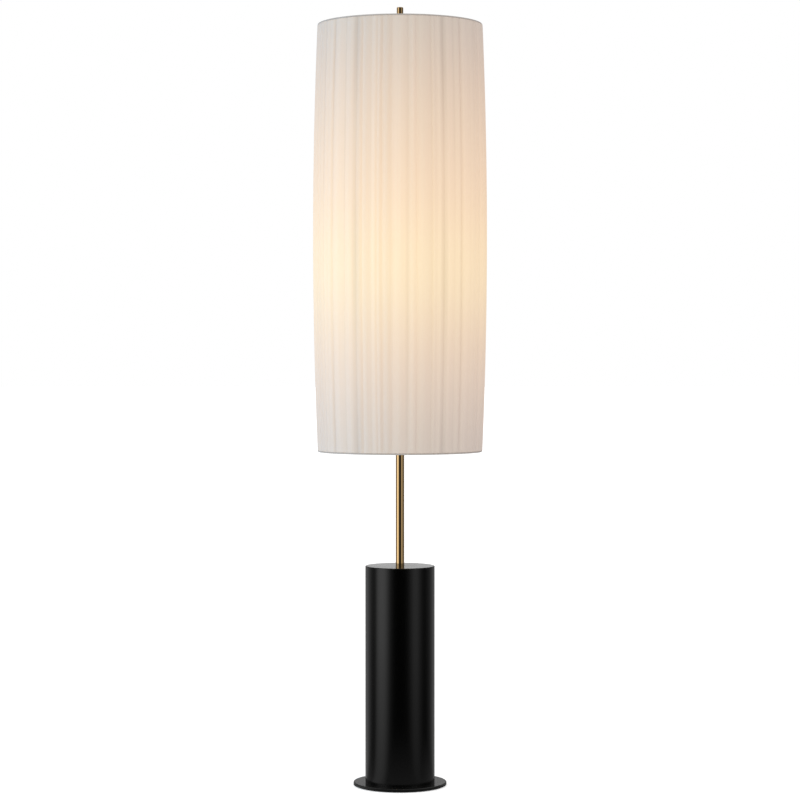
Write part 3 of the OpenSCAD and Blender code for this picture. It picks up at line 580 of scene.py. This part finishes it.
def makeCover():
    # outer cloth: the barrel's arc less the folds' sink, and the same surface again one thickness inwards
    angle = np.linspace(0, 2 * math.pi, cover["columns"], endpoint=False)
    low = shade["bottom"] + cover["edge"]
    high = shade["top"] - cover["edge"]
    holdShare, holdReach = cover["rimHold"]

    def layer(rows, inward):
        ends = np.array(cover["rimRows"]) / (high - low)
        level = np.concatenate([ends, np.linspace(cover["firstRow"], 1 - cover["firstRow"], rows),
                                1 - ends[::-1]])
        grid, height = np.meshgrid(angle, level)
        z = low + (high - low) * height
        sink, paintedShade, tone = foldSurface(grid, height)
        held = np.exp(-np.minimum(height, 1 - height) * (high - low) / holdReach)  # flatter at both rims
        radius = sideRadius(z) - sink * (1 - holdShare * held) - inward
        return ringPoints(radius, grid, z), {"paintedShade": paintedShade, "tone": tone}, z

    outer, masks, z = layer(cover["rows"], 0.0)
    inner, innerMasks, innerZ = layer(cover["innerRows"], cover["thickness"])
    middle = outer[len(outer) // 2]
    steps = np.linalg.norm(np.diff(middle, axis=0, append=middle[:1]), axis=-1)
    obj = shellMesh("pleatedCover", (outer, z, masks), (inner, innerZ, innerMasks), steps)
    return obj, float(steps.sum()), high - low


lining = {
    "inset": shade["endRadius"] + shade["swell"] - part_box("shade_lining")[1][0] + 0.0007,  # clear of it
    "thickness": 0.0005,
    "gathers": (72, 0.0006),  # how many round, and how deep at the two ends
    "gatherReach": 0.05,      # share of the height that they fade over
    "slack": 0.0010,          # between the struts, at mid height
    "edge": 0.005,
    "columns": 480,
    "rows": 26,
}


def makeLining():
    # smooth inner cloth: the barrel's arc less a slack that is a sine squared between the struts, plus
    # gathers that are a sine round it and fade from both ends
    angle = np.linspace(0, 2 * math.pi, lining["columns"], endpoint=False)
    low = shade["bottom"] + lining["edge"]
    high = shade["top"] - lining["edge"]
    grid, height = np.meshgrid(angle, np.linspace(0, 1, lining["rows"]))
    z = low + (high - low) * height
    ends = np.exp(-np.minimum(height, 1 - height) / lining["gatherReach"])
    gathers, gatherDepth = lining["gathers"]
    ripples = np.sin(gathers * grid + 1.4 * np.sin(5 * grid)) * ends
    slack = lining["slack"] * np.sin(shade["struts"] / 2 * grid) ** 2 * np.sin(math.pi * height)
    radius = sideRadius(z) - lining["inset"] + gatherDepth * ripples - slack
    # painted shade: the gathers darker where they sink in and lighter where they stand out, over an even
    # darkening
    masks = {"paintedShade": 0.3 - 0.3 * ripples, "tone": 0 * z}
    outer = ringPoints(radius, grid, z)
    inner = ringPoints(radius - lining["thickness"], grid, z)
    middle = outer[lining["rows"] // 2]
    steps = np.linalg.norm(np.diff(middle, axis=0, append=middle[:1]), axis=-1)
    obj = shellMesh("shadeLining", (outer, z, masks), (inner, z, masks), steps)
    return obj, float(steps.sum()), high - low


tape = {
    "depth": 0.0084,      # through the binding, from the outside to the inside of the shade
    "thickness": 0.0009,
    "inset": 0.0005,      # in from the shade's side
    "tuck": 0.0014,       # how far its outer edge goes in under the cover
    "lap": (0.0004, 0.0006),  # where it starts and stops turning in, above and below the cover's edge
    "round": 0.0016,
    "inner": 0.008,       # height of the leg inside the shade
    "puckers": 150,
    "pucker": 0.0001,
    "foldShadeReach": 0.0011,  # how far up the painted shade on its fold reaches
    "columns": 960,
}


def tapeProfile():
    # folded tape as (inset from the shade's side, rise from its edge): an outer leg that starts under the
    # cover, a round fold over the wire ring and a longer inner leg
    width, rise, bend = tape["depth"], shade["binding"], tape["round"]
    turn = np.linspace(0, math.pi / 2, 6)
    above, below = tape["lap"]
    outerLeg = [(tape["tuck"], rise), (tape["tuck"], cover["edge"] + above), (0.0, cover["edge"] - below)]
    firstTurn = np.stack([bend - bend * np.cos(turn), bend - bend * np.sin(turn)], axis=-1)
    secondTurn = np.stack([width - bend + bend * np.sin(turn), bend - bend * np.cos(turn)], axis=-1)
    innerLeg = [(width, tape["inner"] * 0.6), (width, tape["inner"])]
    return np.concatenate([outerLeg, firstTurn, secondTurn, innerLeg])


def makeTape(name, edge, direction):
    # the profile carried round the ring, and again one thickness along its normal; above the fold the tape
    # puckers outwards and inwards as a sine with uneven steps
    angle = np.linspace(0, 2 * math.pi, tape["columns"], endpoint=False)
    profile = tapeProfile()
    side = np.gradient(profile, axis=0)
    side = side / np.linalg.norm(side, axis=1, keepdims=True)
    core = profile + np.stack([-side[:, 1], side[:, 0]], axis=-1) * tape["thickness"]
    uneven = 2.2 * np.sin(9 * angle) + 0.7 * np.sin(23 * angle)
    pucker = tape["pucker"] * np.sin(tape["puckers"] * angle + uneven)
    hold = np.clip(profile[:, 1] / shade["binding"], 0, 1)[:, None] * pucker[None, :]
    foldShade = np.exp(-profile[:, 1] / tape["foldShadeReach"])[:, None] + 0 * hold  # painted shade: 1 on the fold itself
    # painted shade on the fold, and the puckers painted lighter where they bulge out and darker where they
    # sink in
    masks = {"paintedShade": foldShade, "tone": hold / tape["pucker"]}
    if direction > 0:
        masks = {label: values[::-1] for label, values in masks.items()}

    def lay(points):
        radius = shade["endRadius"] - tape["inset"] - points[:, 0][:, None] + hold
        z = edge + direction * points[:, 1][:, None] + 0 * radius
        laid = ringPoints(radius, np.broadcast_to(angle, radius.shape), z)
        return (laid[::-1], z[::-1], masks) if direction > 0 else (laid, z, masks)

    steps = np.full(tape["columns"], 2 * math.pi * shade["endRadius"] / tape["columns"])
    return shellMesh(name, lay(profile), lay(core), steps)


stitches = {"count": 260, "length": 0.0026, "thick": 0.00022, "rise": 0.0021, "wander": 0.0002,
            "endTaper": 0.94, "sides": 6, "rings": 5}


def makeStitches(name, edge, direction):
    # one bead repeated round the tape: a capsule bent to the ring, its radius falling off as a circle's does
    turn = np.linspace(0, 2 * math.pi, stitches["count"], endpoint=False)
    wander = stitches["wander"] * chance.standard_normal(stitches["count"])
    t = np.linspace(-1, 1, stitches["rings"])
    around = np.linspace(0, 2 * math.pi, stitches["sides"], endpoint=False)
    swell = stitches["thick"] * np.sqrt(1 - stitches["endTaper"] * t ** 2)
    arc = turn[:, None, None] + t[None, :, None] * stitches["length"] / 2 / shade["endRadius"]
    radius = shade["endRadius"] - tape["inset"] + swell[None, :, None] * np.cos(around)[None, None, :]
    rise = stitches["rise"] + wander[:, None, None] + swell[None, :, None] * np.sin(around)[None, None, :]
    z = edge + direction * rise
    arc = np.broadcast_to(arc, z.shape)
    radius = np.broadcast_to(radius, z.shape)
    points = ringPoints(radius, arc, z).reshape(-1, 3)
    sides, rings = stitches["sides"], stitches["rings"]
    i = np.arange(rings - 1)[:, None] * sides
    j = np.arange(sides)[None, :]
    k = (j + 1) % sides
    quads = np.stack([i + j, i + k, i + sides + k, i + sides + j], axis=-1).reshape(-1, 4)
    each = np.arange(stitches["count"])[:, None, None] * (sides * rings)
    walls = (quads[None] + each).reshape(-1, 4).tolist()
    startCap = (np.arange(sides)[::-1][None, :] + each[:, 0]).tolist()
    endCap = (np.arange(sides)[None, :] + sides * (rings - 1) + each[:, 0]).tolist()
    mesh = bpy.data.meshes.new(name)
    mesh.from_pydata(points.tolist(), [], walls + startCap + endCap)
    if direction > 0:
        mesh.flip_normals()
    mesh.polygons.foreach_set("use_smooth", np.ones(len(mesh.polygons), dtype=bool))
    mesh.validate()
    return addObject(name, mesh)


coverCloth, coverWidth, coverHeight = makeCover()
liningCloth, liningWidth, liningHeight = makeLining()
topTape = makeTape("topTape", shade["top"], -1)
bottomTape = makeTape("bottomTape", shade["bottom"], 1)
topStitches = makeStitches("topStitches", shade["top"], -1)
bottomStitches = makeStitches("bottomStitches", shade["bottom"], 1)
print("shade cloth made: cover", round(coverWidth, 3), "m round its folds")


bulbGlows = [  # painted glow: height, reach and colour of the bulbs' light that comes through the cloth, painted as the cloth's emission
    (1.18, 0.33, (0.334, 0.070, 0.000)),
    (1.12, 0.16, (0.074, 0.145, 0.049)),
    (1.39, 0.17, (0.059, 0.048, 0.016)),
    (1.28, 0.25, (0.000, 0.057, 0.023)),
    (0.90, 0.14, (0.035, 0.048, 0.032)),
    (1.55, 0.14, (0.051, 0.019, 0.000)),
]
# light is each cloth's own tone, shadedTone the tone its painted shade goes to, glow and glowTint the
# strength and tint of the bulbs' light painted on it
clothLook = {
    "pleatedCover": {"light": (0.660, 0.600, 0.540), "shadedTone": (0.541, 0.492, 0.443), "glow": 1.0,
                     "glowTint": (1.0, 1.0, 1.0), "weave": 4000.0, "slub": 0.02, "rough": 0.75, "sheen": 0.1},
    "shadeLining": {"light": (0.74, 0.71, 0.66), "shadedTone": (0.62, 0.59, 0.54), "glow": 1.1,
                    "glowTint": (1.0, 1.25, 2.6), "weave": 4000.0, "slub": 0.02, "rough": 0.8, "sheen": 0.1},
    "bindingTape": {"light": (0.46, 0.445, 0.425), "shadedTone": (0.37, 0.36, 0.345), "glow": 0.6,
                    "glowTint": (1.0, 1.0, 1.0), "weave": 3000.0, "slub": 0.02, "rough": 0.8, "sheen": 0.1},
}
clothPattern = {
    "slubs": {"Stretch": (230.0, 2.2, 1.0), "Detail": 3.0, "Contrast": 1.6},
    "panels": {"Stretch": (45.0, 0.6, 1.0), "Detail": 2.0, "Contrast": 2.0},
    "foldToneAndPuckerShade": 1.3,            # how far each fold's own tone, and the tape's painted pucker shade, go beside the slubs'
    "gapTone": (-0.06, 1.02),   # the weave's gaps darken it: slope and start
    # how far the painted shade takes each cloth towards its shaded tone
    "paintedShadeStrength": 0.85,
    "creaseGlow": -0.10,        # the painted glow is painted dimmer where the painted shade lies, as folded cloth passes less light
    "threadBump": (0.2, 0.00006),
    "slubBump": (0.2, 0.0003),
}


def clothMaterial(name, look):
    # woven cloth: tone by slub, panel and fold, painted shade along creases, fold edges and strut lines, and
    # the bulbs' light through it painted as the cloth's glow
    made, tree, shader = startMaterial(
        name, Roughness=look["rough"], Sheen_Weight=look["sheen"], Sheen_Roughness=0.5,
        Emission_Strength=look["glow"],
    )
    uv = addNode(tree, "ShaderNodeUVMap", (-1900, 0), uv_map="cloth")
    coords = addNode(tree, "ShaderNodeTexCoord", (-1900, -420))
    paintedShade = addNode(tree, "ShaderNodeAttribute", (-1900, 320), attribute_name="paintedShade")
    foldToneAndPuckerShade = addNode(tree, "ShaderNodeAttribute", (-1900, 520), attribute_name="tone")
    weave = placeGroup(tree, weaveGroup, (-1600, 40), UV=uv.outputs[0],
                       Threads_Across=look["weave"] * math.pi, Threads_Down=look["weave"] * math.pi)
    slub = placeGroup(tree, grainGroup, (-1600, -200), Vector=uv.outputs[0], **clothPattern["slubs"])
    panels = placeGroup(tree, grainGroup, (-1600, -420), Vector=uv.outputs[0], **clothPattern["panels"])
    # painted shade along creases, fold edges, strut lines and the tape's fold
    depth = mathStep(tree, "MULTIPLY", paintedShade.outputs["Fac"], clothPattern["paintedShadeStrength"],
                     place=(-1450, 320), clamp=True)
    tone = blendColour(tree, depth, look["light"], look["shadedTone"], place=(-1250, 300))
    streak = mathStep(tree, "MULTIPLY_ADD", slub.outputs["Grain"], look["slub"] * 2, 1 - look["slub"],
                      place=(-1250, -100))
    panel = mathStep(tree, "MULTIPLY_ADD", panels.outputs["Grain"], look["slub"] * 2, 1 - look["slub"],
                     place=(-1250, -300))
    # each fold's random tone, and the tape puckers' painted shade
    ownTone = mathStep(tree, "MULTIPLY_ADD", foldToneAndPuckerShade.outputs["Fac"],
                       look["slub"] * clothPattern["foldToneAndPuckerShade"], 1.0, place=(-1250, 520))
    gaps = mathStep(tree, "MULTIPLY_ADD", weave.outputs["Gap"], *clothPattern["gapTone"], place=(-1250, 80))
    both = mathStep(tree, "MULTIPLY", streak, panel, place=(-1050, -180))
    uneven = mathStep(tree, "MULTIPLY", both, ownTone, place=(-1050, 0))
    shadeOf = mathStep(tree, "MULTIPLY", uneven, gaps, place=(-880, -80))
    toned = blendColour(tree, 1.0, tone, shadeOf, place=(-680, 220), kind="MULTIPLY")
    joinUp(tree, toned, shader.inputs["Base Color"])

    z = splitVector(tree, coords.outputs["Object"], (-1600, -660))[2]
    doubled = mathStep(tree, "MULTIPLY_ADD", paintedShade.outputs["Fac"], clothPattern["creaseGlow"], 1.0,
                       place=(-1350, -480))
    softened = mathStep(tree, "SQRT", uneven, place=(-1250, -560))
    passed = mathStep(tree, "MULTIPLY", softened, doubled, place=(-1150, -480))
    # painted glow: the bulbs' light through the cloth, painted into its emission colour
    glow = None
    for row, (height, reach, colour) in enumerate(bulbGlows):
        down = -660 - 190 * row
        lamp = placeGroup(tree, glowGroup, (-1350, down), Height=z, Bulb_Height=height, Reach=reach,
                          Strength=passed)
        tinted = addNode(tree, "ShaderNodeVectorMath", (-1050, down), operation="SCALE",
                         Vector=np.multiply(colour, look["glowTint"]), Scale=lamp.outputs["Light"])
        if glow is None:
            glow = tinted.outputs[0]
        else:
            added = addNode(tree, "ShaderNodeVectorMath", (-850, down), operation="ADD", Vector=glow)
            joinUp(tree, tinted.outputs[0], added.inputs[1])
            glow = added.outputs[0]
    joinUp(tree, glow, shader.inputs["Emission Color"])

    strength, distance = clothPattern["threadBump"]
    fine = addNode(tree, "ShaderNodeBump", (-500, -120), Strength=strength, Distance=distance,
                   Height=weave.outputs["Height"])
    strength, distance = clothPattern["slubBump"]
    coarse = addNode(tree, "ShaderNodeBump", (-260, -180), Strength=strength, Distance=distance,
                     Height=slub.outputs["Grain"], Normal=fine.outputs[0])
    joinUp(tree, coarse.outputs[0], shader.inputs["Normal"])
    return made


threadLook = {**finishes["lead_sleeve"], "tone": (0.52, 0.50, 0.47), "toneTwo": (0.46, 0.44, 0.41),
              "rough": 0.8, "stretch": (3000, 3000, 3000), "bump": 0.3, "dust": 0.0}
threadMaterial = grainyMaterial("sewingThread", threadLook)
clothMaterials = {name: clothMaterial(name, look) for name, look in clothLook.items()}
shadePieces = (
    (coverCloth, "pleated_cloth", clothMaterials["pleatedCover"]),
    (liningCloth, "lining_cloth", clothMaterials["shadeLining"]),
    (topTape, "binding_cloth", clothMaterials["bindingTape"]),
    (bottomTape, "binding_cloth", clothMaterials["bindingTape"]),
    (topStitches, "binding_cloth", threadMaterial),
    (bottomStitches, "binding_cloth", threadMaterial),
)
for piece, slot, material in shadePieces:
    piece.data.materials.append(material)
    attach(piece, "shade")
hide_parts("shade_cover")
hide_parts("shade_lining")
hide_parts("top_binding")
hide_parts("bottom_binding")
print("shade dressed")


studio = {
    "around": 0.9,
    "aroundTint": (1.0, 0.984, 0.995),
    "floorTone": (0.84, 0.84, 0.835),
    "floorLift": 0.5,
    "floorRadius": 60.0,
    "lights": [  # bearing and level of what a shiny surface sees, from behind round the left to behind again
        (-180, 1.0), (-170, 0.48), (-156, 0.25), (-136, 0.41), (-120, 0.31), (-108, 0.18), (-97, 0.13),
        (-88, 0.20), (-80, 0.82), (-72, 1.18), (-62, 1.30), (-52, 1.20), (-44, 0.84), (-37, 0.44),
        (-30, 0.16), (-20, 0.04), (-8, 0.0), (14, 0.01), (26, 0.08), (36, 0.26), (46, 0.52), (58, 0.52),
        (68, 0.28), (79, 0.10), (90, 0.05), (101, 0.10), (116, 0.17), (134, 0.31), (156, 0.26),
        (170, 0.48), (180, 1.0),
    ],
    "overhead": 0.45,
    "overheadFrom": (4.0, -0.9),  # slope and start of the light overhead, by a direction's upward part
    "wallFade": (-15.5, 2.9),     # slope and start: reflected walls darken above the horizon
    "wallLeast": 0.1,
    "nearFade": (0.17, 0.36),     # painted shade: the floor's painted reflection in front is dimmer near the lamp, by metres
    "nearFloor": (-0.23, 0.21),   # a painted pool of light on the floor close round the foot, by metres
}
lamps = {  # place, aim, size, power and tint
    "sideLight": ((-4.1, -0.4, 1.2), (0, 0, 1.2), (2.2, 2.6), 37.4, (0.0, 0.47, 1.0)),
    "frontLight": ((-2.6, -4.2, 1.3), (0, 0, 1.2), (2.0, 2.0), 26.6, (0.81, 1.0, 0.80)),
    "lowLight": ((-1.0, -0.15, 0.35), (0, 0, 0.74), (0.4, 0.4), 0.9, (1.0, 0.92, 0.81)),
}
studioGroup = makeStudioGroup(studio["lights"])


def makeWorld():
    # white to the camera, plain even light on the lamp, and for shiny surfaces the ring of the studio with
    # light overhead
    world = bpy.data.worlds.new("studioWorld")
    bpy.context.scene.world = world
    world.use_nodes = True
    tree = world.node_tree
    tree.nodes.clear()
    out = addNode(tree, "ShaderNodeOutputWorld", (900, 0))
    path = addNode(tree, "ShaderNodeLightPath", (-300, 500))
    coords = addNode(tree, "ShaderNodeTexCoord", (-900, 0))
    ring = placeGroup(tree, studioGroup, (-600, 60), Vector=coords.outputs["Generated"])
    upward = splitVector(tree, coords.outputs["Generated"], (-600, -160))[2]
    above = mathStep(tree, "MULTIPLY_ADD", upward, *studio["overheadFrom"], place=(-420, -160), clamp=True)
    ceiling = mathStep(tree, "MULTIPLY", above, studio["overhead"], place=(-240, -160))
    wall = mathStep(tree, "MULTIPLY_ADD", upward, *studio["wallFade"], place=(-420, -320), clamp=True)
    wallKept = mathStep(tree, "MAXIMUM", wall, studio["wallLeast"], place=(-240, -320))
    walls = mathStep(tree, "MULTIPLY", ring.outputs["Light"], wallKept, place=(-240, 60))
    lit = mathStep(tree, "MAXIMUM", walls, ceiling, place=(-60, 0))
    plain = addNode(tree, "ShaderNodeBackground", (200, 260), Color=(*studio["aroundTint"], 1),
                    Strength=studio["around"])
    shine = addNode(tree, "ShaderNodeBackground", (200, 60), Color=(1, 1, 1, 1), Strength=lit)
    white = addNode(tree, "ShaderNodeBackground", (200, 460), Color=(1, 1, 1, 1))
    toShine = mixShaders(tree, path.outputs["Is Glossy Ray"], plain.outputs[0], shine.outputs[0], (450, 160))
    seen = mathStep(tree, "MAXIMUM", path.outputs["Is Camera Ray"], path.outputs["Is Transmission Ray"],
                    place=(0, 600))
    toCamera = mixShaders(tree, seen, toShine, white.outputs[0], (680, 320))
    joinUp(tree, toCamera, out.inputs[0])


def makeFloor():
    # wide disc that stays white to the camera, takes the lamp's soft shadow and vanishes from below;
    # a shiny surface sees a painted reflection on it, as dark or light as the studio behind it, painted
    # dimmer near the lamp in front and with a painted pool of light close round the foot
    angle = np.linspace(0, 2 * math.pi, 96, endpoint=False)
    rim = ringPoints(studio["floorRadius"], angle, np.full(len(angle), -0.0005))
    mesh = bpy.data.meshes.new("floor")
    mesh.from_pydata(rim.tolist(), [], [list(range(len(angle)))])
    floor = addObject("floor", mesh)
    made, tree, shader = startMaterial("paleFloor", Roughness=0.9, Specular_IOR_Level=0.0,
                                       Base_Color=(*studio["floorTone"], 1), Emission_Color=(1, 1, 1, 1))
    path = addNode(tree, "ShaderNodeLightPath", (-700, 0))
    seen = mathStep(tree, "MAXIMUM", path.outputs["Is Camera Ray"], path.outputs["Is Transmission Ray"],
                    place=(-500, 0))
    lift = mathStep(tree, "MULTIPLY", seen, studio["floorLift"], place=(-300, 0))
    joinUp(tree, lift, shader.inputs["Emission Strength"])
    coords = addNode(tree, "ShaderNodeTexCoord", (-1100, -300))
    ring = placeGroup(tree, studioGroup, (-500, -300), Vector=coords.outputs["Object"])
    away = addNode(tree, "ShaderNodeVectorMath", (-900, -500), operation="LENGTH",
                   Vector=coords.outputs["Object"]).outputs["Value"]
    fade = mathStep(tree, "MULTIPLY_ADD", away, *studio["nearFade"], place=(-700, -500), clamp=True)
    y = splitVector(tree, coords.outputs["Object"], (-900, -700))[1]
    share = mathStep(tree, "DIVIDE", y, away, place=(-700, -700))  # 1 straight behind the lamp, -1 in front
    behind = mathStep(tree, "ADD", share, 0.5, place=(-500, -700), clamp=True)
    spread = mathStep(tree, "MAXIMUM", fade, behind, place=(-300, -600))
    faded = mathStep(tree, "MULTIPLY", ring.outputs["Light"], spread, place=(-300, -400))
    paintedPool = mathStep(tree, "MULTIPLY_ADD", away, *studio["nearFloor"], place=(-500, -900), clamp=True)
    level = mathStep(tree, "MAXIMUM", faded, paintedPool, place=(-200, -400))
    # painted reflection: what a shiny surface sees of the floor is painted as emission
    paintedReflection = addNode(tree, "ShaderNodeEmission", (-100, -300), Strength=level)
    toShine = mixShaders(tree, path.outputs["Is Glossy Ray"], shader.outputs[0], paintedReflection.outputs[0],
                         (250, 0))
    clear = addNode(tree, "ShaderNodeBsdfTransparent", (250, -300))
    geometry = addNode(tree, "ShaderNodeNewGeometry", (250, 300))
    oneSided = mixShaders(tree, geometry.outputs["Backfacing"], toShine, clear.outputs[0], (500, 0))
    joinUp(tree, oneSided, tree.nodes["Material Output"].inputs[0])
    mesh.materials.append(made)


def addLamp(name, place, aim, size, power, tint):
    data = bpy.data.lights.new(name, "AREA")
    data.shape = "RECTANGLE"
    data.size, data.size_y = size
    data.energy = power
    data.color = tint
    lamp = addObject(name, data)
    lamp.location = place
    away = np.array(place) - np.array(aim)
    lamp.rotation_euler = (math.acos(away[2] / np.linalg.norm(away)), 0,
                           math.atan2(away[1], away[0]) + math.pi / 2)
    lamp.visible_glossy = False


photoCamera = {
    "place": (0, -5.4, 0.956),
    "aimHeight": 0.8488,  # on the lamp's axis
    "sensor": 36.0,
    "lens": 110.5,
    "farthest": 200.0,
}


def makeCamera():
    # level with the shade's lower half, far off, tipped down a little
    data = bpy.data.cameras.new("photoCamera")
    data.sensor_width = photoCamera["sensor"]
    data.lens = photoCamera["lens"]
    data.clip_end = photoCamera["farthest"]
    camera = addObject("photoCamera", data)
    camera.location = photoCamera["place"]
    drop = photoCamera["place"][2] - photoCamera["aimHeight"]
    camera.rotation_euler = (math.pi / 2 - math.atan2(drop, -photoCamera["place"][1]), 0, 0)
    bpy.context.scene.camera = camera


makeWorld()
makeFloor()
for name, settings in lamps.items():
    addLamp(name, *settings)
makeCamera()
bpy.context.scene.view_settings.view_transform = "Standard"
print("studio set")
